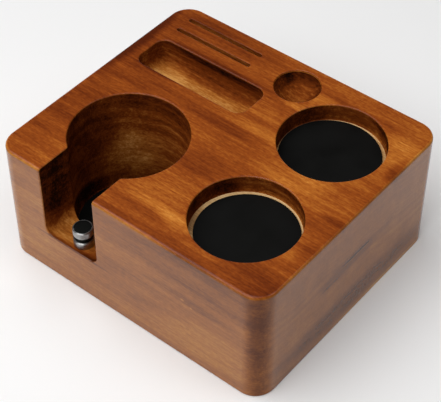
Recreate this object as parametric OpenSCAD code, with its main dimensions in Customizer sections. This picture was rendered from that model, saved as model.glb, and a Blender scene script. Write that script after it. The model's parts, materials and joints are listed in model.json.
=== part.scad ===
// Espresso tamping station: one solid wood block with a portafilter bore and its front slot,
// two round tool recesses, a pocket, a bowl and two card slits, lined with rubber pads,
// and a small steel rest that screws up and down under the portafilter's neck.
// Sizes are in millimetres. +Z is up, the slot opens to -Y, and the origin is the middle of the underside.

/* [Block] */
// Width of the block, left to right
block_w = 180; // [174:1:220]
// Depth of the block, front to back
block_d = 158; // [144:1:190]
// Height of the block
block_h = 78; // [66:1:100]
// Radius of the four upright corners
corner_r = 12.5; // [4:0.5:16]
// Rounding of the top edge
top_edge_r = 1.8; // [0.6:0.1:3.4]
// Rounding of the bottom edge
bottom_edge_r = 0.8; // [0.4:0.1:2]
// Rounding of the rims of the hollows
rim_r = 0.7; // [0.3:0.1:1.2]

/* [Portafilter bore] */
// Diameter of the bore
bore_d = 67; // [60:0.5:70]
// Bore's axis from the left face
bore_from_left = 50.4; // [46:0.1:56]
// Bore's axis from the front face
bore_from_front = 50.3; // [45:0.1:54]
// Wood left under the bore
bore_floor_t = 9.3; // [5:0.1:20]

/* [Front slot] */
// Width of the slot
slot_w = 37.5; // [30:0.5:44]
// Height of the slot's floor above the underside
slot_floor_h = 29.5; // [26:0.5:42]
// Radius along the two sides of the slot's floor
slot_floor_r = 5.5; // [2:0.5:9]
// Rounding of the two upright edges where the slot meets the bore
neck_r = 2; // [0.5:0.1:3]

/* [Tool recesses] */
// Diameter of the two recesses
recess_d = 60; // [54:0.5:61]
// Depth of the two recesses
recess_depth = 11; // [8:0.5:18]
// Front recess's axis from the right face
front_recess_from_right = 42.3; // [38:0.1:46]
// Front recess's axis from the front face
front_recess_from_front = 41; // [38:0.1:44]
// Back recess's axis from the right face
back_recess_from_right = 41.3; // [38:0.1:44]
// Back recess's axis from the back face
back_recess_from_back = 44; // [38:0.1:45]
// Wood between the two recesses
recess_wall = 13; // [6:0.5:20]

/* [Floors and pads] */
// Cove along the floor of the bore and of the two recesses
floor_cove_r = 0.95; // [0.3:0.05:1]
// Thickness of the three rubber pads
pad_t = 1; // [0.6:0.1:2.5]
// Rounding of the pads' top edges
pad_edge_r = 0.3; // [0.1:0.05:0.5]
// Gap from the bore's wall to its pad
bore_pad_gap = 1; // [1:0.1:4]
// Gap from the front recess's wall to its pad, if the pad were centred
front_pad_gap = 2.2; // [2.2:0.1:5]
// How far to the right of centre the front pad is glued
front_pad_shift = 0.95; // [0:0.05:1.2]
// Gap from the back recess's wall to its pad, if the pad were centred
back_pad_gap = 1.8; // [1.8:0.1:5]
// How far to the left of centre the back pad is glued
back_pad_shift = 0.8; // [0:0.05:0.8]

/* [Pocket] */
// Length of the pocket, left to right
pocket_l = 76.6; // [60:0.5:80]
// Width of the pocket, front to back
pocket_w = 25.1; // [20:0.1:28]
// Depth of the pocket
pocket_depth = 15; // [10:0.5:25]
// Radius of the pocket's corners and of the cove along its floor
pocket_r = 6.5; // [3:0.5:8]
// Pocket's left end from the left face
pocket_from_left = 10.7; // [8:0.1:14]
// Pocket's back wall from the back face
pocket_from_back = 33.5; // [31:0.1:36]
// Wood between the bore and the pocket
bore_pocket_wall = 15.6; // [8:0.1:22]

/* [Bowl] */
// Diameter of the bowl at its rim
bowl_d = 26.8; // [24:0.1:30]
// Depth of the bowl
bowl_depth = 11; // [6:0.5:12]
// Bowl's axis from the right face
bowl_from_right = 83.1; // [81:0.1:86]
// Bowl's axis from the back face
bowl_from_back = 18.9; // [17:0.1:20]

/* [Card slits] */
// Length of the two slits
slit_l = 53.6; // [40:0.1:64]
// Width of the two slits
slit_w = 2.6; // [1.6:0.1:4]
// Depth of the two slits
slit_depth = 10; // [5:0.5:20]
// Slits' left ends from the left face
slit_from_left = 12; // [8:0.1:20]
// Back slit's middle line from the back face
slit_from_back = 11; // [8:0.1:12]
// Distance between the slits' middle lines
slit_pitch = 11; // [8:0.1:13]
// Rounding of the slits' rims
slit_rim_r = 0.4; // [0.2:0.05:0.8]

/* [Neck rest] */
// How far to the right of the slot's middle the rest's axis is
rest_shift = 2.1; // [-5:0.1:5]
// Rest's axis from the front face
rest_from_front = 8.1; // [6.7:0.1:10]
// Diameter of the steel collar
collar_d = 11.6; // [9:0.1:12]
// Height of the steel collar
collar_h = 4.7; // [3:0.1:7]
// Diameter of the collar's shank, pressed into the wood
shank_d = 8; // [7:0.1:8.4]
// Length of the collar's shank
shank_l = 12; // [8:0.5:16]
// Diameter of the rubber washer under the head
washer_d = 10.2; // [8:0.1:10.6]
// Thickness of the rubber washer
washer_t = 2.9; // [1:0.1:4]
// Diameter of the screw's knurled head
head_d = 11.4; // [10:0.1:13]
// Height of the screw's knurled head
head_h = 4.7; // [3:0.1:8]
// Diameter of the screw's stud
stud_d = 6; // [4:0.1:6]
// Depth of the stud's tip above the shank's lower end, with the rest screwed down
stud_tip_gap = 1; // [0:0.5:4]
// Chamfer of the steel edges
steel_chamfer = 0.5; // [0.2:0.1:0.9]
// Width of the steel rim round the rubber disc in the head's top
head_rim_w = 0.2; // [0.1:0.05:1]
// Thickness of the rubber disc
disc_t = 1; // [0.5:0.1:2]
// How far the rubber disc stands out of the head
disc_proud = 0.2; // [0.1:0.05:0.4]

/* [Hidden] */
$fn = 96;
over = 1;             // how far a cutter runs past the wood
thread_gap = 0.05;    // radial clearance of the stud in the collar
socket_gap = 0.05;    // radial clearance of the shank in the wood
socket_spare = 0.5;   // depth of the wood's socket below the shank
washer_gap = 0.1;     // radial clearance of the stud in the washer
disc_gap = 0.05;      // radial clearance of the rubber disc in the head

left_x = -block_w / 2;
right_x = block_w / 2;
front_y = -block_d / 2;
back_y = block_d / 2;
// The depth that the hollows and their walls leave over, or lack, is shared: a third to each wall of the two
// recesses, and half to the wall behind the bore with a quarter to each wall behind that one.
recess_spare = (block_d - front_recess_from_front - recess_d - recess_wall - back_recess_from_back) / 3;
pocket_spare = (block_d - bore_from_front - bore_d / 2 - bore_pocket_wall - pocket_w - pocket_from_back) / 2;
slit_spare = pocket_spare / 2;
bore_r = bore_d / 2;
bore_at = [left_x + bore_from_left, front_y + bore_from_front];
recess_r = recess_d / 2;
recess_floor_h = block_h - recess_depth;
front_recess_at = [right_x - front_recess_from_right, front_y + front_recess_from_front + recess_spare];
back_recess_at = [right_x - back_recess_from_right, back_y - back_recess_from_back - recess_spare];
pocket_at = [left_x + pocket_from_left + pocket_l / 2,
             back_y - pocket_from_back - pocket_spare - pocket_w / 2];
bowl_at = [right_x - bowl_from_right, back_y - bowl_from_back];
slit_at = [left_x + slit_from_left + slit_l / 2, back_y - slit_from_back - slit_spare];
rest_at = [bore_at.x + rest_shift, front_y + rest_from_front];
collar_top = slot_floor_h + collar_h;
head_bottom = collar_top + washer_t;
head_top = head_bottom + head_h;
stud_r = stud_d / 2;
stud_l = washer_t + collar_h + shank_l - stud_tip_gap;
seat_r = head_d / 2 - steel_chamfer - head_rim_w;
seat_depth = disc_t - disc_proud;

module spandrel(r) {
    // what a rounding of radius r takes off an edge: the arc's middle is the origin
    difference() {
        square(r + over);
        circle(r);
    }
}

module rounded_outline(w, d, r) {
    // w is over 2 r, and d is 2 r where the ends are half circles
    square([w - 2 * r, d], center = true);
    if (d > 2 * r) square([w, d - 2 * r], center = true);
    for (x = [-1, 1], y = [-1, 1])
        translate([x * (w / 2 - r), y * (d / 2 - r)]) circle(r);
}

module around_outline(w, d, r) {
    // runs a profile, the children, along a rounded outline: its x points outward from the corners' middles
    for (side = [0, 1, 2, 3]) {
        out = side % 2 == 0 ? w : d;
        along = side % 2 == 0 ? d : w;
        rotate(side * 90) translate([out / 2 - r, along / 2 - r]) {
            rotate_extrude(angle = 90) children();
            if (along > 2 * r) rotate([90, 0, 0]) linear_extrude(along - 2 * r) children();
        }
    }
}

module coved_bore(r, depth) {
    // a blind round hole down from z = 0, with a cove along its floor
    translate([0, 0, -depth]) rotate_extrude() {
        square([r - floor_cove_r, depth + over]);
        translate([0, floor_cove_r]) square([r, depth - floor_cove_r + over]);
        translate([r - floor_cove_r, floor_cove_r]) circle(floor_cove_r);
    }
}

module round_rim(r, ease) {
    // rounds the rim of a round hole in a face at z = 0
    rotate_extrude() translate([r + ease, -ease]) mirror([1, 0]) spandrel(ease);
}

module long_rim(w, d, r, ease) {
    // rounds the rim of a hole with straight sides and round corners in a face at z = 0
    around_outline(w, d, r) translate([r + ease, -ease]) mirror([1, 0]) spandrel(ease);
}

module block_body() {
    difference() {
        linear_extrude(block_h) rounded_outline(block_w, block_d, corner_r);
        translate([0, 0, block_h]) around_outline(block_w, block_d, corner_r)
            translate([corner_r - top_edge_r, -top_edge_r]) spandrel(top_edge_r);
        around_outline(block_w, block_d, corner_r)
            translate([corner_r - bottom_edge_r, bottom_edge_r]) mirror([0, 1]) spandrel(bottom_edge_r);
    }
}

module slot_outline() {
    // the slot's section, its middle on x = 0 and its floor on y = 0
    wall_h = block_h - slot_floor_h + over;
    translate([-slot_w / 2, slot_floor_r]) square([slot_w, wall_h - slot_floor_r]);
    translate([slot_floor_r - slot_w / 2, 0]) square([slot_w - 2 * slot_floor_r, slot_floor_r + over]);
    for (x = [-1, 1]) translate([x * (slot_w / 2 - slot_floor_r), slot_floor_r]) circle(slot_floor_r);
}

module neck_corner() {
    // what the rounding takes off the upright edge where the slot's right wall meets the bore
    fillet_x = slot_w / 2 + neck_r;
    fillet_y = -sqrt(pow(bore_r + neck_r, 2) - pow(fillet_x, 2));
    edge_y = -sqrt(pow(bore_r, 2) - pow(slot_w / 2, 2));
    on_bore = [fillet_x, fillet_y] * bore_r / (bore_r + neck_r);
    difference() {
        polygon([[slot_w / 2 - neck_r, fillet_y], [slot_w / 2, fillet_y], [fillet_x, fillet_y],
                 on_bore, [slot_w / 2 - neck_r, edge_y + neck_r]]);
        translate([fillet_x, fillet_y]) circle(neck_r);
    }
}

module portafilter_cut() {
    slot_l = bore_from_front;
    translate([bore_at.x, bore_at.y, 0]) {
        translate([0, 0, block_h]) coved_bore(bore_r, block_h - bore_floor_t);
        translate([0, 0, block_h]) round_rim(bore_r, rim_r);
        translate([0, 0, slot_floor_h]) rotate([90, 0, 0]) linear_extrude(slot_l + over) slot_outline();
        for (side = [0, 1]) mirror([side, 0]) {
            translate([0, 0, slot_floor_h + slot_floor_r])
                linear_extrude(block_h - slot_floor_h - slot_floor_r + over) neck_corner();
            translate([slot_w / 2 + rim_r, 0, block_h - rim_r])
                rotate([90, 0, 0]) linear_extrude(slot_l + over) mirror([1, 0]) spandrel(rim_r);
        }
    }
}

module recess_cut(at) {
    translate([at.x, at.y, block_h]) {
        coved_bore(recess_r, recess_depth);
        round_rim(recess_r, rim_r);
    }
}

module pocket_cut() {
    core_l = pocket_l - 2 * pocket_r;
    core_w = pocket_w - 2 * pocket_r;
    translate([pocket_at.x, pocket_at.y, block_h - pocket_depth]) {
        translate([0, 0, pocket_r])
            linear_extrude(pocket_depth - pocket_r + over) rounded_outline(pocket_l, pocket_w, pocket_r);
        translate([-core_l / 2, -core_w / 2, 0]) cube([core_l, core_w, pocket_r + over]);
        translate([0, 0, pocket_r]) {
            for (y = [-1, 1]) translate([-core_l / 2, y * core_w / 2, 0])
                rotate([0, 90, 0]) cylinder(r = pocket_r, h = core_l);
            for (x = [-1, 1]) translate([x * core_l / 2, core_w / 2, 0])
                rotate([90, 0, 0]) cylinder(r = pocket_r, h = core_w);
            for (x = [-1, 1], y = [-1, 1]) translate([x * core_l / 2, y * core_w / 2, 0]) sphere(pocket_r);
        }
    }
    translate([pocket_at.x, pocket_at.y, block_h]) long_rim(pocket_l, pocket_w, pocket_r, rim_r);
}

module bowl_cut() {
    rim = bowl_d / 2;
    ball_r = (rim * rim + bowl_depth * bowl_depth) / (2 * bowl_depth);
    translate([bowl_at.x, bowl_at.y, block_h - bowl_depth + ball_r]) sphere(ball_r);
    translate([bowl_at.x, bowl_at.y, block_h]) round_rim(rim, rim_r);
}

module slit_cut(back_offset) {
    translate([slit_at.x, slit_at.y - back_offset, block_h]) {
        translate([0, 0, -slit_depth])
            linear_extrude(slit_depth + over) rounded_outline(slit_l, slit_w, slit_w / 2);
        long_rim(slit_l, slit_w, slit_w / 2, slit_rim_r);
    }
}

module rest_socket_cut() {
    translate([rest_at.x, rest_at.y, slot_floor_h - shank_l - socket_spare])
        cylinder(d = shank_d + 2 * socket_gap, h = shank_l + socket_spare + over);
}

module wood_block() {
    color("#9a5526") difference() {
        block_body();
        portafilter_cut();
        recess_cut(front_recess_at);
        recess_cut(back_recess_at);
        pocket_cut();
        bowl_cut();
        for (i = [0, 1]) slit_cut(i * slit_pitch);
        rest_socket_cut();
    }
}

module pad(r) {
    // a round rubber pad with a softened top edge
    rotate_extrude() {
        square([r, pad_t - pad_edge_r]);
        square([r - pad_edge_r, pad_t]);
        translate([r - pad_edge_r, pad_t - pad_edge_r]) circle(pad_edge_r);
    }
}

module portafilter_pad() {
    color("#161616") translate([bore_at.x, bore_at.y, bore_floor_t]) pad(bore_r - bore_pad_gap);
}

module front_recess_pad() {
    color("#161616") translate([front_recess_at.x + front_pad_shift, front_recess_at.y, recess_floor_h])
        pad(recess_r - front_pad_gap);
}

module back_recess_pad() {
    color("#161616") translate([back_recess_at.x - back_pad_shift, back_recess_at.y, recess_floor_h])
        pad(recess_r - back_pad_gap);
}

module rest_collar() {
    // a flanged bush, tapped for the stud, whose shank is pressed into the slot's floor
    color("#b9bcbf") translate([rest_at.x, rest_at.y, slot_floor_h]) difference() {
        union() {
            cylinder(d = collar_d, h = collar_h - steel_chamfer);
            translate([0, 0, collar_h - steel_chamfer])
                cylinder(d1 = collar_d, d2 = collar_d - 2 * steel_chamfer, h = steel_chamfer);
            translate([0, 0, -shank_l]) cylinder(d = shank_d, h = shank_l);
        }
        translate([0, 0, -shank_l - over])
            cylinder(r = stud_r + thread_gap, h = shank_l + collar_h + 2 * over);
    }
}

module rest_screw() {
    // the knurled head with its seat for the rubber disc, and the stud below it
    color("#c8cacc") translate([rest_at.x, rest_at.y, head_bottom]) {
        difference() {
            union() {
                cylinder(d1 = head_d - 2 * steel_chamfer, d2 = head_d, h = steel_chamfer);
                translate([0, 0, steel_chamfer]) cylinder(d = head_d, h = head_h - 2 * steel_chamfer);
                translate([0, 0, head_h - steel_chamfer])
                    cylinder(d1 = head_d, d2 = head_d - 2 * steel_chamfer, h = steel_chamfer);
            }
            translate([0, 0, head_h - seat_depth])
                cylinder(r = seat_r, h = seat_depth + over);
        }
        translate([0, 0, -stud_l]) cylinder(r = stud_r, h = stud_l);
    }
}

module rest_washer() {
    color("#1a1a1a") translate([rest_at.x, rest_at.y, collar_top]) difference() {
        cylinder(d = washer_d, h = washer_t);
        translate([0, 0, -over]) cylinder(r = stud_r + washer_gap, h = washer_t + 2 * over);
    }
}

module rest_disc() {
    color("#1a1a1a") translate([rest_at.x, rest_at.y, head_top - seat_depth])
        cylinder(r = seat_r - disc_gap, h = disc_t);
}

wood_block();
portafilter_pad();
front_recess_pad();
back_recess_pad();
rest_collar();
rest_screw();
rest_washer();
rest_disc();
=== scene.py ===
"""Dresses the espresso tamping station: a lacquered wood block, rubber pads and a knurled steel neck rest.

Everything is in metres in the part's own frame: +Z is up, the slot opens to -Y and the underside lies
on z = 0.
"""
import json
import math

import bmesh
import bpy
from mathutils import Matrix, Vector


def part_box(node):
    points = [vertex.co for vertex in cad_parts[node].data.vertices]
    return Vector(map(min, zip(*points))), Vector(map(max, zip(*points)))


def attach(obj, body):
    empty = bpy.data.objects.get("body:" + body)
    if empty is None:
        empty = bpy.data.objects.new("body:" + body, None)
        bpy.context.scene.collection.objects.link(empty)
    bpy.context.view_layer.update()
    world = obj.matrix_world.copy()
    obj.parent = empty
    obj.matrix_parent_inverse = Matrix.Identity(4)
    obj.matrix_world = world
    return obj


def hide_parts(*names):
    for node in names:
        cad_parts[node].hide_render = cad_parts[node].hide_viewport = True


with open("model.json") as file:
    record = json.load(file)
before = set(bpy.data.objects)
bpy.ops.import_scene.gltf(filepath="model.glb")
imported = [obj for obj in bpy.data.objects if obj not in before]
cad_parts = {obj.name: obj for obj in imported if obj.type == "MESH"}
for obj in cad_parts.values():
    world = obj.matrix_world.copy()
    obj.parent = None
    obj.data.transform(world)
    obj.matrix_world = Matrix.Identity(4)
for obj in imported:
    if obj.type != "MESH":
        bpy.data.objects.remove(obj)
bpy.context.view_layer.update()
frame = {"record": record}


def paint(red, green, blue):
    """A screen colour of 0 to 255 as the linear colour that a shader takes, by the usual screen curve."""
    def linear(level):
        share = level / 255
        return share / 12.92 if share <= 0.04045 else ((share + 0.055) / 1.055) ** 2.4
    return (linear(red), linear(green), linear(blue), 1)


MM = 0.001
MOUNTS = {mount["name"]: mount for mount in frame["record"]["mounts"]}
RECESSES = ("front_recess", "back_recess")
BLOCK_LOW, BLOCK_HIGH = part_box("wood_block")
BLOCK_MIDDLE, BLOCK_HALF = (BLOCK_LOW + BLOCK_HIGH) / 2, (BLOCK_HIGH - BLOCK_LOW) / 2
BORE_AT = Vector(MOUNTS["portafilter_bore"]["pos_m"])
BORE_R = MOUNTS["portafilter_bore"]["dims"]["r_mm"] * MM
RECESS_FLOOR_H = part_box("front_recess_pad")[0].z

# Wood block
CORNER_R = 12.5 * MM
TOP_EDGE_R = 1.8 * MM
BOTTOM_EDGE_R = 0.8 * MM
RIM_R = 0.7 * MM
SLIT_RIM_R = 0.4 * MM
FLOOR_COVE_R = 0.95 * MM
OVER = 4 * MM  # how far a cutter runs past the wood

# Front slot
SLOT_W = 37.5 * MM
SLOT_FLOOR_H = 29.5 * MM
SLOT_FLOOR_R = 5.5 * MM
NECK_R = 2 * MM

# Pocket, bowl and card slits, placed from the block's left, right and back faces
POCKET_SIZE = Vector((76.6, 25.1, 15)) * MM
POCKET_R = 6.5 * MM
POCKET_FROM_LEFT = 10.7 * MM
POCKET_FROM_BACK = 33.5 * MM
BOWL_R = 13.4 * MM
BOWL_DEPTH = 11 * MM
BOWL_FROM_RIGHT = 83.1 * MM
BOWL_FROM_BACK = 18.9 * MM
SLIT_SIZE = Vector((53.6, 2.6, 10)) * MM
SLIT_FROM_LEFT = 12 * MM
SLIT_FROM_BACK = 11 * MM
SLIT_PITCH = 11 * MM
SLITS = 2
SLIT_END_SHARE = 0.99  # how nearly the slits' ends are half rounds

# Rubber pads
PAD_EDGE_R = 0.3 * MM

# Neck rest
STUD_R = 3 * MM
STUD_GAP = 0.05 * MM
WASHER_GAP = 0.1 * MM
SHANK_R = 4 * MM
STEEL_CHAMFER = 0.5 * MM
HEAD_RIM_W = 0.2 * MM
COLLAR_FOOT_EASE = 0.2 * MM
RUBBER_EASE = 0.35 * MM
DISC_CROWN = 0.12 * MM
CROWN_STEPS = 8
CROWN_SHARE = 0.96  # how much of the disc's radius the crown covers
KNURL_SIDES = 120
KNURL_DEPTH = 0.16 * MM
KNURL_LAND = 0.35 * MM
KNURL_FADE = 0.15 * MM
THREAD_PITCH = 1 * MM
THREAD_DEPTH = 0.55 * MM
RINGS_PER_THREAD = 10

# How finely round things are cut
ROUND_SIDES = 192
SMALL_ROUND_SIDES = 96
CORNER_STEPS = 20
EASE_STEPS = 5

# Angles in degrees from which an edge stays sharp
WOOD_SHARP = 30
RIDGE_SHARP = 35
PAD_SHARP = 40
COLLAR_SHARP = 30
SCREW_SHARP = 25
REST_RUBBER_SHARP = 50

# Wood, in the block's own directions: the fibres run along X. The layers' pitch and wander are in mm.
OUTER_LAYERS = dict(pitch=9.0, wander=12.0, contrast=0.07)
END_LAYERS = dict(pitch=3.0, wander=9.0, contrast=0.05)
HOLLOW_LAYERS = dict(pitch=4.2, wander=4.0, contrast=0.06)
EDGE_HIGHLIGHT_TONE = 0.24  # what the top edges' painted highlight, and their stain worn paler, add to the tone
TOP_TONES = [(0.0, paint(82, 31, 8)), (1.0, paint(214, 142, 62)), (0.25, paint(110, 47, 13)),
             (0.5, paint(142, 69, 21)), (0.75, paint(177, 102, 36))]
SIDE_TONES = [(0.0, paint(92, 46, 15)), (1.0, paint(200, 142, 68)), (0.25, paint(122, 67, 22)),
              (0.5, paint(150, 88, 31)), (0.75, paint(174, 114, 46))]
# The hollows' tones run darker than the outer wood's, partly as painted shade; the near-black end is for
# painted shade on the walls deep in the hollows.
HOLLOW_TONES = [(0.0, paint(26, 11, 5)), (1.0, paint(204, 144, 76)), (0.25, paint(78, 32, 9)),
                (0.5, paint(116, 55, 17)), (0.75, paint(160, 95, 37))]
PORE_COLOUR = paint(72, 32, 12)
# The bare floor's tones: the darkest stop serves its painted shade.
BARE_TONES = [(0.0, paint(84, 50, 26)), (0.9, paint(226, 194, 142)), (0.5, paint(190, 146, 92))]

# Soft marks: each one's middle and reach in mm, and what its middle adds to the tone. Some belong to the
# wood's figure and some are painted light and shade. Some have a tilt in degrees, or a core: the share of
# the reach that keeps the full tone.
STREAKS_AND_PAINTED_LIGHT = [
    dict(at=(44, 17, 78), reach=(62, 9, 10), tone=0.2),
    dict(at=(-6, 7.5, 78), reach=(36, 4, 8), tone=-0.2),
    dict(at=(5, -66, 78), reach=(22, 4, 8), tone=-0.1),
    dict(at=(84, -12, 78), reach=(12, 4, 8), tone=-0.2),
    dict(at=(40, 64.5, 78), reach=(50, 3, 8), tone=-0.2),
    dict(at=(80, 45, 78), reach=(18, 28, 10), tone=0.16),
    dict(at=(48, -2, 78), reach=(34, 9, 10), tone=0.14),
    dict(at=(-84, -10, 78), reach=(44, 90, 10), tone=-0.14),
    dict(at=(-56, 64, 78), reach=(56, 24, 10), tone=-0.18),
    dict(at=(-66, 71, 78), reach=(34, 5, 8), tone=-0.22),
    # painted shade along the pocket's front rim
    dict(at=(-60, 20.2, 77.8), reach=(24, 2.4, 3), tone=-0.4),
    dict(at=(-90, 38, 78), reach=(9, 50, 10), tone=-0.45),
    # painted shade along the pocket's back rim
    dict(at=(-41, 46.6, 78), reach=(50, 2.4, 3), tone=-0.3),
    dict(at=(-20, 11.5, 78), reach=(64, 3.5, 8), tone=-0.18),
    dict(at=(-68, 0, 78), reach=(18, 5, 8), tone=0.18),
    dict(at=(24, -63, 78), reach=(18, 7, 8), tone=0.28),
    dict(at=(80, -70, 78), reach=(22, 13, 8), tone=-0.14),
    dict(at=(44, -71, 78), reach=(18, 5, 8), tone=0.14),
    dict(at=(79, -40, 78), reach=(6, 16, 8), tone=0.14),
    dict(at=(88, 38, 78), reach=(6, 12, 8), tone=-0.24),
    dict(at=(57, 6, 78), reach=(22, 6, 8), tone=0.26),
    dict(at=(25, 57, 78), reach=(12, 12, 8), tone=0.14),
    dict(at=(18, 46, 78), reach=(16, 4, 8), tone=0.3),
    dict(at=(5, -55, 78), reach=(28, 20, 10), tone=0.18),
    dict(at=(3, -23, 78), reach=(24, 15, 10), tone=-0.16),
    # painted shadow along the slot floor's front edge
    dict(at=(-40, -78.2, 29.8), reach=(40, 2, 1.4), tone=-0.7),
    # painted shade along the front top edge's right half, toning down the painted edge highlight there
    dict(at=(52, -79.5, 77.5), reach=(52, 2.6, 5), tone=-0.24),
    dict(at=(56, -79, 20), reach=(50, 20, 22), tone=0.14),
    dict(at=(46, -79, 46.5), reach=(44, 12, 5), tone=-0.2),
    dict(at=(10, -79, 75), reach=(96, 10, 9), tone=-0.12),
    dict(at=(72, -79, 71), reach=(22, 10, 10), tone=-0.12),
    dict(at=(-20, -79, 9), reach=(80, 10, 9), tone=0.07),
    dict(at=(50, -79, 66), reach=(60, 20, 18), tone=-0.08),
    dict(at=(24, -79, 27), reach=(30, 12, 5), tone=-0.1, tilt=14),
    # front right upright corner darker: partly grain, partly painted shade where the round turns from the
    # light
    dict(at=(91, -80, 34), reach=(14, 14, 60), tone=-0.45),
    # painted shade low on the right face
    dict(at=(90, 0, 13), reach=(8, 100, 12), tone=-0.34),
    # painted light along the right face's foot
    dict(at=(90, 40, 0.5), reach=(8, 70, 4), tone=0.4),
    dict(at=(10, -79, 62), reach=(80, 10, 26), tone=-0.07),
    dict(at=(39.4, -79, 45.7), reach=(1.8, 3, 1.1), tone=0.4),
    dict(at=(45, -79, 43), reach=(1.2, 3, 0.8), tone=0.3),
    dict(at=(90, -4, 44), reach=(12, 46, 7), tone=-0.26),
    # painted shade over the right face's upper part
    dict(at=(90, -10, 66), reach=(8, 100, 26), tone=-0.06),
    # top of the front right corner darker: partly grain, partly painted shade
    dict(at=(86, -75, 70), reach=(14, 14, 20), tone=-0.2),
    # painted shade along the right top edge, toning down the painted edge highlight there
    dict(at=(90.5, 0, 78), reach=(2.2, 100, 4), tone=-0.22),
    dict(at=(90, 2, 46.5), reach=(8, 16, 1.6), tone=-0.34),
    dict(at=(90, -20, 41), reach=(8, 13, 1.6), tone=-0.26),
]
# Painted light and shade in the hollows: the pocket floor lighter and its back wall darker near the rim,
# the bowl's rim darker, the slot floor lighter with a painted shadow on its front edge, painted shadow on
# the slot's and the bore's left walls, the bore's far wall darker near the rim and lighter lower down, and
# the recess walls darker near their rims with a painted glow near their floors.
HOLLOW_PAINTED_LIGHT_AND_SHADE = [
    dict(at=(-54, 30, 63), reach=(34, 14, 8), tone=0.26),
    dict(at=(-68, 37, 63), reach=(16, 10, 5), tone=0.16),
    dict(at=(-18, 30, 63), reach=(30, 12, 8), tone=0.26),
    dict(at=(-40, 42, 65), reach=(56, 6, 5), tone=-0.04),
    dict(at=(-40, 46, 78), reach=(64, 8, 8), tone=-0.35),
    dict(at=(9, 59, 66.5), reach=(10, 10, 5), tone=0.06),
    dict(at=(-5, 61, 74), reach=(7, 16, 8), tone=-0.2),
    dict(at=(3, 69, 77), reach=(26, 12, 8), tone=-0.26),
    dict(at=(-46, -68, 29), reach=(26, 20, 8), tone=0.28),
    dict(at=(-40, -79.5, 29.5), reach=(40, 4.5, 4), tone=-0.28, core=0.5),
    dict(at=(-58.4, -68, 66), reach=(5, 30, 38), tone=-0.38, core=0.5),
    dict(at=(-61, -3, 36), reach=(26, 22, 22), tone=0.24),
    dict(at=(-68, -38, 14), reach=(20, 30, 12), tone=-0.4, core=0.5),
    dict(at=(-44, 3, 76), reach=(60, 24, 18), tone=-0.2),
    dict(at=(-76, -36, 54), reach=(20, 34, 50), tone=-0.22, core=0.4),
    dict(at=(54, -9, 66), reach=(26, 12, 6), tone=0.2),
    dict(at=(60, -11, 77.5), reach=(26, 16, 6), tone=-0.3),
    dict(at=(76, -30, 73), reach=(8, 20, 10), tone=-0.3),
    dict(at=(54, 64, 66), reach=(26, 12, 6), tone=0.2),
    dict(at=(68, 56, 76.5), reach=(20, 24, 7), tone=-0.4),
    dict(at=(18, -30, 72), reach=(16, 30, 14), tone=-0.25, core=0.4),
    dict(at=(19, 43, 72), reach=(16, 30, 14), tone=-0.25, core=0.4),
]
# Painted shade on the bare recess floors, where the walls shadow the ring round each pad.
BARE_PAINTED_SHADE = [
    dict(at=(17, -54, 66.5), reach=(16, 22, 8), tone=-0.5),
    dict(at=(70, 56, 66.5), reach=(18, 20, 6), tone=-0.3),
    dict(at=(20, 45, 66.5), reach=(20, 34, 8), tone=-0.7),
]
MARK_CORE = 0.3  # the core of a mark that names none

# Figure of the wood: its marks' sizes along the fibres, across them and up, in mm
WAVE_SIZE = (150, 42, 60)
PATCH_SIZE = (70, 9, 14)
LINE_SIZE = (50, 2.2, 2.2)
FIBRE_SIZE = (9, 0.8, 0.8)
FLECK_SIZE = (2.6, 1.1, 1.1)
PORE_SIZE = (5, 0.35, 0.35)
BARE_FIBRE_SIZE = (12, 0.7, 0.7)
FIBROUS = dict(detail=3, roughness=0.6)
LAYER_SLOPE = Vector((0.01, 0.1, 1))  # nearly level

# How much each pattern counts, and where a noise is taken as lowest and highest
MIDDLE_TONE = 0.5
PATCH_TONE = 0.12
LINE_TONE = 0.09
FIBRE_TONE = 0.08
FLECK_TONE = 0.08
NOISE_RANGE = 0.3, 0.7
WIDE_NOISE_RANGE = 0.2, 0.8
PORE_RANGE = 0.62, 0.74
PORE_STRENGTH = 0.45
BARE_TONE_RANGE = 0.5, 0.9

# Faces and edges of the block: a pair says where a change starts and where it is full
END_DEPTHS = 1.2 * MM, 0.4 * MM
END_CALM = 0.55     # how much of the figure is left on the end faces
OUTLINE_FADE = 0.2  # share of the depth
TOP_COLOUR_DEPTHS = 0.5, 0.1     # shares of the top edge's radius, below the top
EDGE_UPPER_DEPTHS = 0.15, 0.02   # shares of the top edge's radius, below the top
EDGE_LOWER_DEPTHS = 1.0, 0.6     # shares of the top edge's radius, below the top
TOP_COAT_DEPTHS = 1.0, 0.7       # shares of the top edge's radius, below the top
WORN_CORNER = 158 * MM, 163 * MM  # how far right and forward together

# Sheen and relief
COAT_ROUGHNESS = 0.24
TOP_COAT = 0.4    # share of the coat
WORN_COAT = 0.35  # share of the coat
WOOD_ROUGHNESS_SWING = 0.07
WOOD_BUMP = dict(strength=0.25, distance=0.05 * MM)
BARE_ROUGHNESS_RANGE = 0.5, 0.65
BARE_SPECULAR = 0.3
RUBBER_TONES = [(0.0, paint(6, 6, 5)), (1.0, paint(14, 14, 13))]
RUBBER_SPECULAR = 0.085
RUBBER_ROUGHNESS_SWING = 0.08
RUBBER_BUMP = dict(strength=0.4, distance=0.05 * MM)
DUST_SIZE = (14, 14, 14)   # mm
STEEL_TONES = [(0.3, paint(150, 150, 151)), (0.7, paint(182, 181, 179))]
STEEL_ROUGHNESS = 0.31
STEEL_ROUGHNESS_SWING = 0.06
STEEL_BUMP = dict(strength=0.15, distance=0.02 * MM)
LATHE_W = 4                # mm
STAIN_SIZE = (3, 3, 3)     # mm

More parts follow.
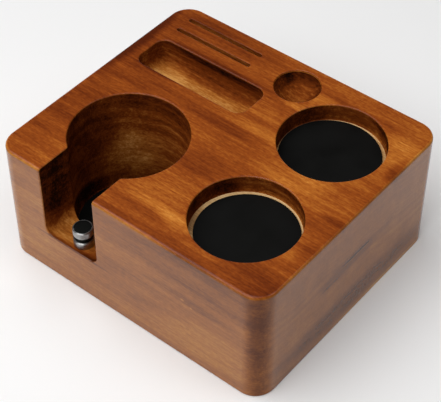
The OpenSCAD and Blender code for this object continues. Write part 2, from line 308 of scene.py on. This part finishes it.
# Studio
PHOTO_W_PX = 441
CAMERA_FOCAL_PX = 1380.2
SENSOR_W = 36.0
CAMERA_AZIMUTH = 39.02
CAMERA_ELEVATION = 45.5
CAMERA_DISTANCE = 814.7 * MM
CAMERA_TARGET = Vector((-18.11, 22.86, 0)) * MM
FLOOR_SIZE = 6.0
FLOOR_GAP = 0.1 * MM
FLOOR_COLOUR = (0.88, 0.88, 0.88, 1)
FLOOR_ROUGHNESS = 0.9
FLOOR_SPECULAR = 0.1
SURROUND_COLOUR = (1, 1, 1, 1)
SURROUND_STRENGTH = 0.05
LIGHT_TARGET = Vector((0, 0, 0.04))
LIGHTS = [
    dict(name="overhead", place=(-0.32, -0.46, 1.2), size=(1.6, 1.6), power=22),
    dict(name="fill", place=(0.26, -0.76, 0.82), size=(0.3, 0.3), power=1.1),
    dict(name="low_front", place=(-0.2, -1.2, 0.06), size=(0.9, 0.08), power=1.2),
    dict(name="right", place=(0.6, 0.3, 1.05), size=(0.6, 0.6), power=2.6),
    dict(name="behind", place=(-0.9, 1.1, 0.3), size=(1.6, 0.3), power=2.6),
]


# Modelling helpers

def only(piece):
    """Selects one object and makes it the active one."""
    bpy.ops.object.select_all(action="DESELECT")
    piece.select_set(True)
    bpy.context.view_layer.objects.active = piece


def settle(piece, name):
    """Puts a new object at the origin, unturned and unscaled, with its place in its mesh."""
    only(piece)
    bpy.ops.object.transform_apply(location=True, rotation=True, scale=True)
    piece.name = name
    return piece


def new_box(name, low, high):
    """A box between two corners."""
    bpy.ops.mesh.primitive_cube_add(size=1, location=(low + high) / 2, scale=high - low)
    return settle(bpy.context.object, name)


def new_disc(name, at, radius, low, high, sides):
    """A round bar that stands between two heights."""
    middle = (at[0], at[1], (low + high) / 2)
    bpy.ops.mesh.primitive_cylinder_add(vertices=sides, radius=radius, depth=high - low, location=middle)
    return settle(bpy.context.object, name)


def bevel_edges(piece, wanted, size, steps):
    """Rounds the edges that wanted(edge) picks."""
    only(piece)
    bpy.ops.object.mode_set(mode="EDIT")
    bpy.ops.mesh.select_mode(type="EDGE")
    bpy.ops.mesh.select_all(action="DESELECT")
    mesh = bmesh.from_edit_mesh(piece.data)
    for edge in mesh.edges:
        edge.select_set(wanted(edge))
    bmesh.update_edit_mesh(piece.data)
    bpy.ops.mesh.bevel(offset=size, segments=steps, profile=0.5, affect="EDGES", clamp_overlap=False)
    bpy.ops.object.mode_set(mode="OBJECT")


def near(a, b, slack=0.01 * MM):
    """Whether two lengths are as good as equal."""
    return abs(a - b) < slack


def upright(edge):
    """Whether an edge runs straight up."""
    a, b = (vert.co for vert in edge.verts)
    return near(a.x, b.x) and near(a.y, b.y)


def level_at(height):
    """A test for the edges that lie at one height."""
    return lambda edge: all(near(vert.co.z, height) for vert in edge.verts)


def cut(piece, cutter):
    """Takes the cutter's shape out of a piece and deletes the cutter."""
    only(piece)
    tool = piece.modifiers.new("cut", "BOOLEAN")
    tool.operation = "DIFFERENCE"
    tool.solver = "EXACT"
    tool.object = cutter
    bpy.ops.object.modifier_apply(modifier=tool.name)
    bpy.data.objects.remove(cutter)


def smooth(piece, angle):
    """Shades the rounded stretches smoothly and keeps the flat faces flat."""
    only(piece)
    bpy.ops.object.shade_smooth_by_angle(angle=math.radians(angle))
    weights = piece.modifiers.new("weights", "WEIGHTED_NORMAL")
    weights.keep_sharp = True
    weights.weight = 100
    bpy.ops.object.modifier_apply(modifier=weights.name)


# Wood block

def round_hole_cutter(mount, floor_h):
    """A round blind hole down to floor_h, with a cove along its floor."""
    at = Vector(mount["pos_m"])
    radius = mount["dims"]["r_mm"] * MM
    cutter = new_disc("hole", at, radius, floor_h, BLOCK_HIGH.z + OVER, ROUND_SIDES)
    bevel_edges(cutter, level_at(floor_h), FLOOR_COVE_R, EASE_STEPS)
    return cutter


def slot_cutter():
    """The front slot, from the bore's axis out through the front face."""
    low = Vector((BORE_AT.x - SLOT_W / 2, BLOCK_LOW.y - OVER, SLOT_FLOOR_H))
    high = Vector((BORE_AT.x + SLOT_W / 2, BORE_AT.y, BLOCK_HIGH.z + OVER))
    cutter = new_box("slot", low, high)

    def along_floor(edge):
        a, b = (vert.co for vert in edge.verts)
        return near(a.x, b.x) and near(a.z, SLOT_FLOOR_H) and near(b.z, SLOT_FLOOR_H)

    bevel_edges(cutter, along_floor, SLOT_FLOOR_R, CORNER_STEPS)
    return cutter


def pocket_cutter():
    """The long pocket, with round corners and a cove all along its floor."""
    low = Vector((BLOCK_LOW.x + POCKET_FROM_LEFT, BLOCK_HIGH.y - POCKET_FROM_BACK - POCKET_SIZE.y,
                  BLOCK_HIGH.z - POCKET_SIZE.z))
    high = low + POCKET_SIZE + Vector((0, 0, OVER))
    cutter = new_box("pocket", low, high)
    bevel_edges(cutter, lambda edge: upright(edge) or level_at(low.z)(edge), POCKET_R, CORNER_STEPS)
    return cutter


def bowl_cutter():
    """The shallow bowl, part of a ball."""
    ball_r = (BOWL_R ** 2 + BOWL_DEPTH ** 2) / (2 * BOWL_DEPTH)
    middle = (BLOCK_HIGH.x - BOWL_FROM_RIGHT, BLOCK_HIGH.y - BOWL_FROM_BACK,
              BLOCK_HIGH.z - BOWL_DEPTH + ball_r)
    bpy.ops.mesh.primitive_uv_sphere_add(segments=ROUND_SIDES, ring_count=SMALL_ROUND_SIDES, radius=ball_r,
                                         location=middle)
    return settle(bpy.context.object, "bowl")


def slit_cutter(forward):
    """A card slit with round ends, so far forward of the back one."""
    middle_y = BLOCK_HIGH.y - SLIT_FROM_BACK - forward
    low = Vector((BLOCK_LOW.x + SLIT_FROM_LEFT, middle_y - SLIT_SIZE.y / 2, BLOCK_HIGH.z - SLIT_SIZE.z))
    high = low + SLIT_SIZE + Vector((0, 0, OVER))
    cutter = new_box("slit", low, high)
    bevel_edges(cutter, upright, SLIT_SIZE.y / 2 * SLIT_END_SHARE, CORNER_STEPS)
    return cutter


def socket_cutter():
    """The socket in the slot's floor for the rest's shank."""
    low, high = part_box("rest_collar")
    middle = (low + high) / 2
    return new_disc("socket", middle, SHANK_R, low.z, SLOT_FLOOR_H + OVER, SMALL_ROUND_SIDES)


def rounded_block():
    """The block with its corners and outer edges rounded, before anything is cut into it."""
    block = new_box("wood_block_body", BLOCK_LOW, BLOCK_HIGH)
    bevel_edges(block, upright, CORNER_R, CORNER_STEPS)
    bevel_edges(block, level_at(BLOCK_HIGH.z), TOP_EDGE_R, 2 * EASE_STEPS)
    bevel_edges(block, level_at(BLOCK_LOW.z), BOTTOM_EDGE_R, EASE_STEPS)
    return block


def is_neck(edge):
    """Whether an edge is one of the two upright ones where the slot meets the bore."""
    middle = (edge.verts[0].co + edge.verts[1].co) / 2
    on_wall = near(abs(middle.x - BORE_AT.x), SLOT_W / 2)
    return upright(edge) and on_wall and middle.y > BLOCK_LOW.y + 2 * NECK_R


def is_sharp_ridge(edge):
    """Whether an edge stands out and is still sharp."""
    return len(edge.link_faces) == 2 and edge.calc_face_angle_signed() > math.radians(RIDGE_SHARP)


def is_slit_rim(edge):
    """Whether an edge is on the rim of a card slit."""
    right_end = BLOCK_LOW.x + SLIT_FROM_LEFT + SLIT_SIZE.x + SLIT_SIZE.y
    front_side = BLOCK_HIGH.y - SLIT_FROM_BACK - (SLITS - 1) * SLIT_PITCH - SLIT_SIZE.y
    return (is_sharp_ridge(edge) and level_at(BLOCK_HIGH.z)(edge)
            and all(vert.co.x < right_end and vert.co.y > front_side for vert in edge.verts))


def wood_block():
    """The block with every hollow cut into it."""
    block = rounded_block()
    bore_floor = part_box("portafilter_pad")[0].z
    cut(block, round_hole_cutter(MOUNTS["portafilter_bore"], bore_floor))
    cut(block, slot_cutter())
    neck_angle = math.acos(SLOT_W / 2 / BORE_R)
    bevel_edges(block, is_neck, NECK_R * math.tan(neck_angle / 2), 2 * EASE_STEPS)
    for name in RECESSES:
        cut(block, round_hole_cutter(MOUNTS[name], RECESS_FLOOR_H))
    cut(block, pocket_cutter())
    cut(block, bowl_cutter())
    for i in range(SLITS):
        cut(block, slit_cutter(i * SLIT_PITCH))
    bevel_edges(block, is_slit_rim, SLIT_RIM_R, EASE_STEPS)
    bevel_edges(block, is_sharp_ridge, RIM_R, EASE_STEPS)
    cut(block, socket_cutter())
    smooth(block, WOOD_SHARP)
    return block


# Rubber pads

def rubber_pad(node):
    """A round mat with a softened top edge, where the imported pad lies."""
    low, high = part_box(node)
    middle = (low + high) / 2
    pad = new_disc(node + "_mat", middle, (high.x - low.x) / 2, low.z, high.z, ROUND_SIDES)
    bevel_edges(pad, level_at(high.z), PAD_EDGE_R, EASE_STEPS)
    smooth(pad, PAD_SHARP)
    return pad


# Neck rest

def turn(name, at, sides, outline):
    """Turns a closed solid ring by ring, from the middle of its bottom to the middle of its top."""
    radius, height = outline[0]
    bpy.ops.mesh.primitive_circle_add(vertices=sides, radius=radius, fill_type="NGON",
                                      location=(at.x, at.y, height))
    piece = settle(bpy.context.object, name)
    bpy.ops.object.mode_set(mode="EDIT")
    bpy.ops.mesh.select_mode(type="FACE")
    bpy.ops.mesh.select_all(action="SELECT")
    for next_radius, next_height in outline[1:]:
        bpy.ops.mesh.extrude_region_move(
            TRANSFORM_OT_translate={"value": (0, 0, next_height - height)})
        share = next_radius / radius
        bpy.ops.transform.resize(value=(share, share, 1), center_override=(at.x, at.y, next_height))
        radius, height = next_radius, next_height
    bpy.ops.mesh.select_all(action="SELECT")
    bpy.ops.mesh.normals_make_consistent(inside=False)
    bpy.ops.object.mode_set(mode="OBJECT")
    return piece


def rounded_edge(radius, height, ease, start):
    """The rings of a quarter round of size ease, from start degrees on, with 0 at (radius, height)."""
    turns = [math.radians(start + 90 * i / EASE_STEPS) for i in range(EASE_STEPS + 1)]
    return [(radius - ease + ease * math.cos(a), height + ease * math.sin(a)) for a in turns]


def knurl(piece, at, outer, low, high):
    """Presses every second upright line between two heights inward, as a straight knurl."""
    only(piece)
    bpy.ops.object.mode_set(mode="EDIT")
    bpy.ops.mesh.select_mode(type="VERT")
    bpy.ops.mesh.select_all(action="DESELECT")
    mesh = bmesh.from_edit_mesh(piece.data)
    for vert in mesh.verts:
        arm = vert.co - Vector((at.x, at.y, vert.co.z))
        line = round(math.atan2(arm.y, arm.x) / (2 * math.pi) * KNURL_SIDES)
        vert.select_set(low < vert.co.z < high and near(arm.length, outer) and line % 2 == 1)
    bmesh.update_edit_mesh(piece.data)
    share = (outer - KNURL_DEPTH) / outer
    bpy.ops.transform.resize(value=(share, share, 1), center_override=(at.x, at.y, low))
    bpy.ops.object.mode_set(mode="OBJECT")


def cut_thread(piece, at, low, high):
    """Draws the stud's rings in and out along a helix, and fades the thread out at both ends."""
    for vert in piece.data.vertices:
        if not low < vert.co.z < high:
            continue
        arm = vert.co - Vector((at.x, at.y, vert.co.z))
        turns = (vert.co.z - low) / THREAD_PITCH - math.atan2(arm.y, arm.x) / (2 * math.pi)
        valley = 1 - abs(2 * (turns % 1) - 1)
        fade = min(1, (high - vert.co.z) / THREAD_PITCH, (vert.co.z - low) / THREAD_PITCH)
        arm *= 1 - THREAD_DEPTH * valley * fade / arm.length
        vert.co = Vector((at.x, at.y, vert.co.z)) + arm


def rest_screw():
    """The knurled head, its seat for the rubber disc, and the threaded stud below it."""
    low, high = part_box("rest_screw")
    at = (low + high) / 2
    head_r = (high.x - low.x) / 2
    head_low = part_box("rest_washer")[1].z
    seat_r = head_r - STEEL_CHAMFER - HEAD_RIM_W
    seat_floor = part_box("rest_disc")[0].z
    rings = round((head_low - low.z) / THREAD_PITCH * RINGS_PER_THREAD)
    outline = [(STUD_R - STEEL_CHAMFER, low.z)]
    outline += [(STUD_R, low.z + STEEL_CHAMFER + (head_low - low.z - STEEL_CHAMFER) * i / rings)
                for i in range(rings + 1)]
    outline += [(head_r - STEEL_CHAMFER, head_low), (head_r, head_low + STEEL_CHAMFER)]
    knurl_low = head_low + STEEL_CHAMFER + KNURL_LAND
    knurl_high = high.z - STEEL_CHAMFER - KNURL_LAND
    outline += [(head_r, height) for height in (knurl_low - KNURL_FADE, knurl_low, knurl_high,
                                                knurl_high + KNURL_FADE)]
    outline += [(head_r, high.z - STEEL_CHAMFER), (head_r - STEEL_CHAMFER, high.z), (seat_r, high.z),
                (seat_r, seat_floor)]
    screw = turn("rest_screw_knurled", at, KNURL_SIDES, outline)
    cut_thread(screw, at, low.z + STEEL_CHAMFER, head_low - THREAD_PITCH)
    knurl(screw, at, head_r, knurl_low - KNURL_FADE / 2, knurl_high + KNURL_FADE / 2)
    smooth(screw, SCREW_SHARP)
    return screw


def rest_collar():
    """The smooth collar on the slot's floor, with its shank in the wood."""
    low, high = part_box("rest_collar")
    at = (low + high) / 2
    collar_r = (high.x - low.x) / 2
    outline = [(SHANK_R - STEEL_CHAMFER, low.z), (SHANK_R, low.z + STEEL_CHAMFER), (SHANK_R, SLOT_FLOOR_H),
               (collar_r - COLLAR_FOOT_EASE, SLOT_FLOOR_H), (collar_r, SLOT_FLOOR_H + COLLAR_FOOT_EASE),
               (collar_r, high.z - STEEL_CHAMFER), (collar_r - STEEL_CHAMFER, high.z)]
    collar = turn("rest_collar_turned", at, SMALL_ROUND_SIDES, outline)
    bore = new_disc("bore", at, STUD_R + STUD_GAP, low.z - OVER, high.z + OVER, SMALL_ROUND_SIDES)
    cut(collar, bore)
    smooth(collar, COLLAR_SHARP)
    return collar


def rest_washer():
    """The rubber washer under the head, with soft round edges."""
    low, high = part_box("rest_washer")
    at = (low + high) / 2
    radius = (high.x - low.x) / 2
    outline = rounded_edge(radius, low.z + RUBBER_EASE, RUBBER_EASE, -90)
    outline += rounded_edge(radius, high.z - RUBBER_EASE, RUBBER_EASE, 0)
    washer = turn("rest_washer_rubber", at, SMALL_ROUND_SIDES, outline)
    bore = new_disc("bore", at, STUD_R + WASHER_GAP, low.z - OVER, high.z + OVER, SMALL_ROUND_SIDES)
    cut(washer, bore)
    smooth(washer, REST_RUBBER_SHARP)
    return washer


def rest_disc():
    """The rubber disc in the head's top, slightly crowned."""
    low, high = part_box("rest_disc")
    at = (low + high) / 2
    radius = (high.x - low.x) / 2
    shares = [1 - i / CROWN_STEPS for i in range(CROWN_STEPS)]
    crown = [(radius * share * CROWN_SHARE, high.z - DISC_CROWN * share ** 2) for share in shares]
    side_top = high.z - DISC_CROWN - RUBBER_EASE / 2
    outline = [(radius, low.z), (radius, side_top)] + crown
    disc = turn("rest_disc_rubber", at, SMALL_ROUND_SIDES, outline)
    smooth(disc, REST_RUBBER_SHARP)
    return disc


# Material helpers

def put(tree, kind, inputs, **settings):
    """Adds a node, sets it up, and links or sets its inputs."""
    made = tree.nodes.new("ShaderNode" + kind)
    for name, value in settings.items():
        setattr(made, name, value)
    for name, value in inputs.items():
        if isinstance(value, bpy.types.NodeSocket):
            tree.links.new(value, made.inputs[name])
        else:
            made.inputs[name].default_value = value
    return made


def combine(tree, operation, a, b):
    """The result of one arithmetic operation."""
    return put(tree, "Math", {0: a, 1: b}, operation=operation).outputs[0]


def spread(tree, value, low, high, to_low=0.0, to_high=1.0, shape="LINEAR"):
    """Carries a value from one range to another, held at both ends."""
    inputs = {"Value": value, "From Min": low, "From Max": high, "To Min": to_low, "To Max": to_high}
    return put(tree, "MapRange", inputs, interpolation_type=shape).outputs[0]


def swing(tree, noise, middle, by, noise_range=NOISE_RANGE):
    """Carries a noise to values up to so far below and above a middle."""
    return spread(tree, noise, *noise_range, middle - by, middle + by)


def below_top(tree, height, depths, to_low=0.0, to_high=1.0):
    """Carries a height from one depth below the top to another, in shares of the top edge's radius."""
    low, high = (BLOCK_HIGH.z - depth * TOP_EDGE_R for depth in depths)
    return spread(tree, height, low, high, to_low, to_high)


def grain_noise(tree, place, sizes, detail=2.0, roughness=0.5):
    """Noise whose marks are as long, wide and high as sizes says, in millimetres."""
    stretched = put(tree, "Mapping", {"Vector": place, "Scale": [1 / (size * MM) for size in sizes]})
    return put(tree, "TexNoise", {"Vector": stretched.outputs[0], "Scale": 1.0, "Detail": detail,
                                  "Roughness": roughness}).outputs["Fac"]


def ramp(tree, value, stops):
    """Colours along a value from 0 to 1."""
    made = put(tree, "ValToRGB", {"Fac": value})
    elements = made.color_ramp.elements
    for i, (position, colour) in enumerate(stops):
        spot = elements[i] if i < 2 else elements.new(position)
        spot.position = position
        spot.color = colour
    return made.outputs["Color"]


def new_material(name):
    """An empty material with its principled shader, output and object coordinates."""
    material = bpy.data.materials.new(name)
    material.use_nodes = True
    tree = material.node_tree
    tree.nodes.clear()
    shader = put(tree, "BsdfPrincipled", {})
    put(tree, "OutputMaterial", {"Surface": shader.outputs[0]})
    place = put(tree, "TexCoord", {}).outputs["Object"]
    return material, tree, shader, place


def set_inputs(shader, inputs):
    """Sets inputs of a shader by their names."""
    for name, value in inputs.items():
        shader.inputs[name].default_value = value


def bump(tree, shader, height, strength, distance):
    """Raises the surface by a height from 0 to 1 times distance."""
    made = put(tree, "Bump", {"Height": height, "Strength": strength, "Distance": distance})
    tree.links.new(made.outputs[0], shader.inputs["Normal"])


# Materials

def tone_mark(tree, place, mark):
    """A soft tone mark for figure and painted light: its own tone at its middle, fading to nothing at its
    reach.
    """
    centred = put(tree, "Mapping", {"Vector": place, "Location": Vector(mark["at"]) * MM,
                                    "Rotation": (0, -math.radians(mark.get("tilt", 0)), 0),
                                    "Scale": Vector(mark["reach"]) * MM}, vector_type="TEXTURE")
    away = put(tree, "VectorMath", {0: centred.outputs[0]}, operation="LENGTH").outputs["Value"]
    mask = spread(tree, away, mark.get("core", MARK_CORE), 1.0, 1.0, 0.0, "SMOOTHSTEP")
    return combine(tree, "MULTIPLY", mask, mark["tone"])


def with_tone_marks(tree, place, tone, marks):
    """A tone with soft marks added to it."""
    for mark in marks:
        tone = combine(tree, "ADD", tone, tone_mark(tree, place, mark))
    return tone


def growth_layers(tree, place, pitch, wander, contrast):
    """Nearly level growth layers as a tone about one half, with sizes in millimetres."""
    wave = grain_noise(tree, place, WAVE_SIZE, detail=3)
    height = put(tree, "VectorMath", {0: place, 1: LAYER_SLOPE}, operation="DOT_PRODUCT")
    height_mm = combine(tree, "DIVIDE", height.outputs["Value"], MM)
    wandered = combine(tree, "ADD", height_mm, spread(tree, wave, 0, 1, -wander, wander))
    rings = put(tree, "TexNoise", {"W": combine(tree, "DIVIDE", wandered, pitch), "Scale": 1.0,
                                   "Detail": 2.0, "Roughness": 0.5}, noise_dimensions="1D").outputs["Fac"]
    return swing(tree, rings, MIDDLE_TONE, contrast)


def at_outline(tree, place, depth):
    """1 at the block's round-cornered outline and 0 farther in, fading at the given depth."""
    middle = Vector((BLOCK_MIDDLE.x, BLOCK_MIDDLE.y, 0))
    flat = put(tree, "VectorMath", {0: place, 1: Vector((1, 1, 0))}, operation="MULTIPLY").outputs[0]
    away = put(tree, "VectorMath", {0: flat, 1: middle}, operation="SUBTRACT").outputs[0]
    mirrored = put(tree, "VectorMath", {0: away}, operation="ABSOLUTE").outputs[0]
    core = Vector((BLOCK_HALF.x - CORNER_R, BLOCK_HALF.y - CORNER_R, 0))
    past = put(tree, "VectorMath", {0: mirrored, 1: core}, operation="SUBTRACT").outputs[0]
    outward = put(tree, "VectorMath", {0: past, 1: Vector((0, 0, 0))}, operation="MAXIMUM").outputs[0]
    reach = put(tree, "VectorMath", {0: outward}, operation="LENGTH").outputs["Value"]
    return spread(tree, reach, CORNER_R - (1 + OUTLINE_FADE) * depth, CORNER_R - (1 - OUTLINE_FADE) * depth)


def calmer_ends(tree, place, tone):
    """Weakens the figure on the two end faces and draws faint fine rings there instead."""
    along = combine(tree, "ABSOLUTE", put(tree, "SeparateXYZ", {0: place}).outputs["X"], 0)
    on_end = spread(tree, along, *(BLOCK_HIGH.x - depth for depth in END_DEPTHS))
    rings = growth_layers(tree, place, **END_LAYERS)
    faint = combine(tree, "ADD", combine(tree, "MULTIPLY", tone, END_CALM),
                    combine(tree, "SUBTRACT", rings, END_CALM * MIDDLE_TONE))
    return put(tree, "Mix", {"Factor": on_end, "A": tone, "B": faint}).outputs["Result"]


def lacquer(tree, place, coat):
    """The coat's weight: full down the sides, less on the top and at the worn front right corner."""
    height = put(tree, "SeparateXYZ", {0: place}).outputs["Z"]
    edge_coat_and_highlight = below_top(tree, height, TOP_COAT_DEPTHS, coat, TOP_COAT * coat)
    forward = put(tree, "VectorMath", {0: place, 1: Vector((1, -1, 0))}, operation="DOT_PRODUCT")
    worn = spread(tree, forward.outputs["Value"], *WORN_CORNER, 1.0, WORN_COAT)
    return combine(tree, "MULTIPLY", edge_coat_and_highlight, worn)


def stained_wood(name, marks_and_painted_light, layers, colours, coat, roughness):
    """Stained hardwood: growth layers, fibre, pores, figure and painted light, under as much lacquer as
    coat says.
    """
    material, tree, shader, place = new_material(name)
    patches = grain_noise(tree, place, PATCH_SIZE, detail=3)
    lines = grain_noise(tree, place, LINE_SIZE, **FIBROUS)
    fibre = grain_noise(tree, place, FIBRE_SIZE, **FIBROUS)
    flecks = grain_noise(tree, place, FLECK_SIZE)
    tone = growth_layers(tree, place, **layers)
    swings = ((patches, PATCH_TONE), (lines, LINE_TONE), (fibre, FIBRE_TONE), (flecks, FLECK_TONE))
    for pattern, by in swings:
        tone = combine(tree, "ADD", tone, swing(tree, pattern, 0, by))
    tone = with_tone_marks(tree, place, calmer_ends(tree, place, tone), marks_and_painted_light)
    colour = colours(tree, place, tone)
    pores = grain_noise(tree, place, PORE_SIZE, detail=1)
    dark_pores = spread(tree, pores, *PORE_RANGE, 0.0, PORE_STRENGTH)
    stained = put(tree, "Mix", {"Factor": dark_pores, "A": colour, "B": PORE_COLOUR}, data_type="RGBA")
    tree.links.new(stained.outputs["Result"], shader.inputs["Base Color"])
    rough = swing(tree, fibre, roughness, WOOD_ROUGHNESS_SWING, WIDE_NOISE_RANGE)
    tree.links.new(rough, shader.inputs["Roughness"])
    set_inputs(shader, {"Specular IOR Level": 0.0, "Coat Weight": coat, "Coat Roughness": COAT_ROUGHNESS})
    if coat:
        tree.links.new(lacquer(tree, place, coat), shader.inputs["Coat Weight"])
    bump(tree, shader, combine(tree, "SUBTRACT", fibre, dark_pores), **WOOD_BUMP)
    return material


def outer_colours(tree, place, tone):
    """Red-brown on top, more golden down the sides, with a painted highlight and worn stain along the top
    edges.
    """
    height = put(tree, "SeparateXYZ", {0: place}).outputs["Z"]
    on_top = below_top(tree, height, TOP_COLOUR_DEPTHS)
    # painted highlight along the top edges, with the stain worn paler there too
    below_face = below_top(tree, height, EDGE_UPPER_DEPTHS, EDGE_HIGHLIGHT_TONE, 0.0)
    above_sides = below_top(tree, height, EDGE_LOWER_DEPTHS)
    on_edge = combine(tree, "MULTIPLY", below_face, above_sides)
    edge_coat_and_highlight = combine(tree, "MULTIPLY", on_edge, at_outline(tree, place, TOP_EDGE_R))
    tone = combine(tree, "ADD", tone, edge_coat_and_highlight)
    return put(tree, "Mix", {"Factor": on_top, "A": ramp(tree, tone, SIDE_TONES),
                             "B": ramp(tree, tone, TOP_TONES)}, data_type="RGBA").outputs["Result"]


def hollow_colours(tree, place, tone):
    """Nearly black to golden, wherever in the hollows the place is; the dark end carries the hollows'
    painted shade.
    """
    return ramp(tree, tone, HOLLOW_TONES)


def bare_wood():
    """The unstained floor of a recess, round its pad, with painted shade where the walls shadow it."""
    material, tree, shader, place = new_material("bare_wood")
    fibre = grain_noise(tree, place, BARE_FIBRE_SIZE, **FIBROUS)
    tone = spread(tree, fibre, *WIDE_NOISE_RANGE, *BARE_TONE_RANGE)
    tone = with_tone_marks(tree, place, tone, BARE_PAINTED_SHADE)
    tree.links.new(ramp(tree, tone, BARE_TONES), shader.inputs["Base Color"])
    rough = spread(tree, fibre, *WIDE_NOISE_RANGE, *BARE_ROUGHNESS_RANGE)
    tree.links.new(rough, shader.inputs["Roughness"])
    set_inputs(shader, {"Specular IOR Level": BARE_SPECULAR})
    bump(tree, shader, fibre, **WOOD_BUMP)
    return material


def black_rubber(name, grain, roughness):
    """Matt black rubber with a fine moulded grain, in millimetres, and faint dust."""
    material, tree, shader, place = new_material(name)
    speckle = grain_noise(tree, place, (grain, grain, grain), detail=3, roughness=0.7)
    clouds = grain_noise(tree, place, DUST_SIZE, detail=3)
    halves = [spread(tree, noise, *NOISE_RANGE, 0.0, 0.5) for noise in (clouds, speckle)]
    tree.links.new(ramp(tree, combine(tree, "ADD", *halves), RUBBER_TONES), shader.inputs["Base Color"])
    rough = swing(tree, clouds, roughness, RUBBER_ROUGHNESS_SWING)
    tree.links.new(rough, shader.inputs["Roughness"])
    set_inputs(shader, {"Specular IOR Level": RUBBER_SPECULAR})
    bump(tree, shader, speckle, **RUBBER_BUMP)
    return material


def turned_steel(name, lines):
    """Stainless steel with the fine rings that a lathe leaves, as high as lines says in millimetres."""
    material, tree, shader, place = new_material(name)
    rings = grain_noise(tree, place, (LATHE_W, LATHE_W, lines))
    stains = grain_noise(tree, place, STAIN_SIZE, detail=3)
    tree.links.new(ramp(tree, stains, STEEL_TONES), shader.inputs["Base Color"])
    rough = swing(tree, rings, STEEL_ROUGHNESS, STEEL_ROUGHNESS_SWING)
    tree.links.new(rough, shader.inputs["Roughness"])
    set_inputs(shader, {"Metallic": 1.0})
    bump(tree, shader, rings, **STEEL_BUMP)
    return material


# Studio

def camera():
    """The photograph's camera: aimed at a spot on the ground plane beside the block's middle."""
    azimuth, elevation = math.radians(CAMERA_AZIMUTH), math.radians(CAMERA_ELEVATION)
    back = Vector((math.sin(azimuth) * math.cos(elevation), -math.cos(azimuth) * math.cos(elevation),
                   math.sin(elevation)))
    data = bpy.data.cameras.new("camera")
    data.sensor_width = SENSOR_W
    data.lens = SENSOR_W * CAMERA_FOCAL_PX / PHOTO_W_PX
    made = bpy.data.objects.new("camera", data)
    bpy.context.scene.collection.objects.link(made)
    made.location = CAMERA_TARGET + back * CAMERA_DISTANCE
    made.rotation_euler = (-back).to_track_quat("-Z", "Y").to_euler()
    bpy.context.scene.camera = made


def softbox(name, place, size, power):
    """A rectangular soft light that faces the part."""
    data = bpy.data.lights.new(name, "AREA")
    data.shape = "RECTANGLE"
    data.size, data.size_y = size
    data.energy = power
    made = bpy.data.objects.new(name, data)
    bpy.context.scene.collection.objects.link(made)
    made.location = place
    made.rotation_euler = (LIGHT_TARGET - Vector(place)).to_track_quat("-Z", "Y").to_euler()


def studio():
    """A pale floor, a pale surround and soft lights."""
    bpy.ops.mesh.primitive_plane_add(size=FLOOR_SIZE, location=(0, 0, -FLOOR_GAP))
    floor = bpy.context.object
    floor.name = "floor"
    material, _, shader, _ = new_material("pale_floor")
    set_inputs(shader, {"Base Color": FLOOR_COLOUR, "Roughness": FLOOR_ROUGHNESS,
                        "Specular IOR Level": FLOOR_SPECULAR})
    floor.data.materials.append(material)
    world = bpy.data.worlds.new("surround")
    world.use_nodes = True
    surround = world.node_tree.nodes["Background"]
    surround.inputs["Color"].default_value = SURROUND_COLOUR
    surround.inputs["Strength"].default_value = SURROUND_STRENGTH
    bpy.context.scene.world = world
    for light in LIGHTS:
        softbox(**light)
    bpy.context.scene.view_settings.view_transform = "Standard"


# Dressing the pieces

LACQUERED, MATT, BARE = range(3)
BARE_SHARE = 0.2  # how much of the floor's cove is bare


def in_round(point, mount):
    """Whether a point lies within a round hole, seen from above."""
    at, radius = mount["pos_m"], mount["dims"]["r_mm"] * MM
    return math.hypot(point.x - at[0], point.y - at[1]) < radius


def depth_in(point):
    """How far a point lies inside the block's round-cornered outline, up to the corners' own radius."""
    past_x = max(abs(point.x - BLOCK_MIDDLE.x) - BLOCK_HALF.x + CORNER_R, 0)
    past_y = max(abs(point.y - BLOCK_MIDDLE.y) - BLOCK_HALF.y + CORNER_R, 0)
    return CORNER_R - math.hypot(past_x, past_y)


def finish_of(face):
    """A block face's finish: lacquered outside, matt in the hollows, bare on the recess floors."""
    at = face.center
    if depth_in(at) < TOP_EDGE_R or not BLOCK_LOW.z + BOTTOM_EDGE_R < at.z < BLOCK_HIGH.z - RIM_R:
        return LACQUERED
    in_recess = any(in_round(at, MOUNTS[name]) for name in RECESSES)
    return BARE if in_recess and at.z < RECESS_FLOOR_H + BARE_SHARE * FLOOR_COVE_R else MATT


def dress(piece, body, node, materials, finish=None):
    """Gives a finished piece its materials, puts it on its body and hides the imported part it takes the
    place of.
    """
    piece.data.materials.clear()
    for material in materials:
        piece.data.materials.append(material)
    if finish:
        for face in piece.data.polygons:
            face.material_index = finish(face)
    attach(piece, body)
    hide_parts(node)


# The scene

camera()
studio()
outer_wood = stained_wood("lacquered_wood", STREAKS_AND_PAINTED_LIGHT, OUTER_LAYERS, outer_colours, coat=1.0, roughness=0.5)
hollow_wood = stained_wood("matt_wood", HOLLOW_PAINTED_LIGHT_AND_SHADE, HOLLOW_LAYERS, hollow_colours, coat=0.0,
                           roughness=0.6)
block_woods = [outer_wood, hollow_wood, bare_wood()]
pad_rubber = black_rubber("pad_rubber", grain=0.5, roughness=0.62)
rest_rubber = black_rubber("rest_rubber", grain=0.3, roughness=0.55)
collar_steel = turned_steel("turned_steel", lines=0.15)
head_steel = turned_steel("knurled_steel", lines=0.3)

dress(wood_block(), "station", "wood_block", block_woods, finish_of)
for pad in ("portafilter_pad", "front_recess_pad", "back_recess_pad"):
    dress(rubber_pad(pad), "station", pad, [pad_rubber])
dress(rest_collar(), "station", "rest_collar", [collar_steel])
dress(rest_washer(), "rest_slider", "rest_washer", [rest_rubber])
dress(rest_screw(), "rest_knob", "rest_screw", [head_steel])
dress(rest_disc(), "rest_knob", "rest_disc", [rest_rubber])
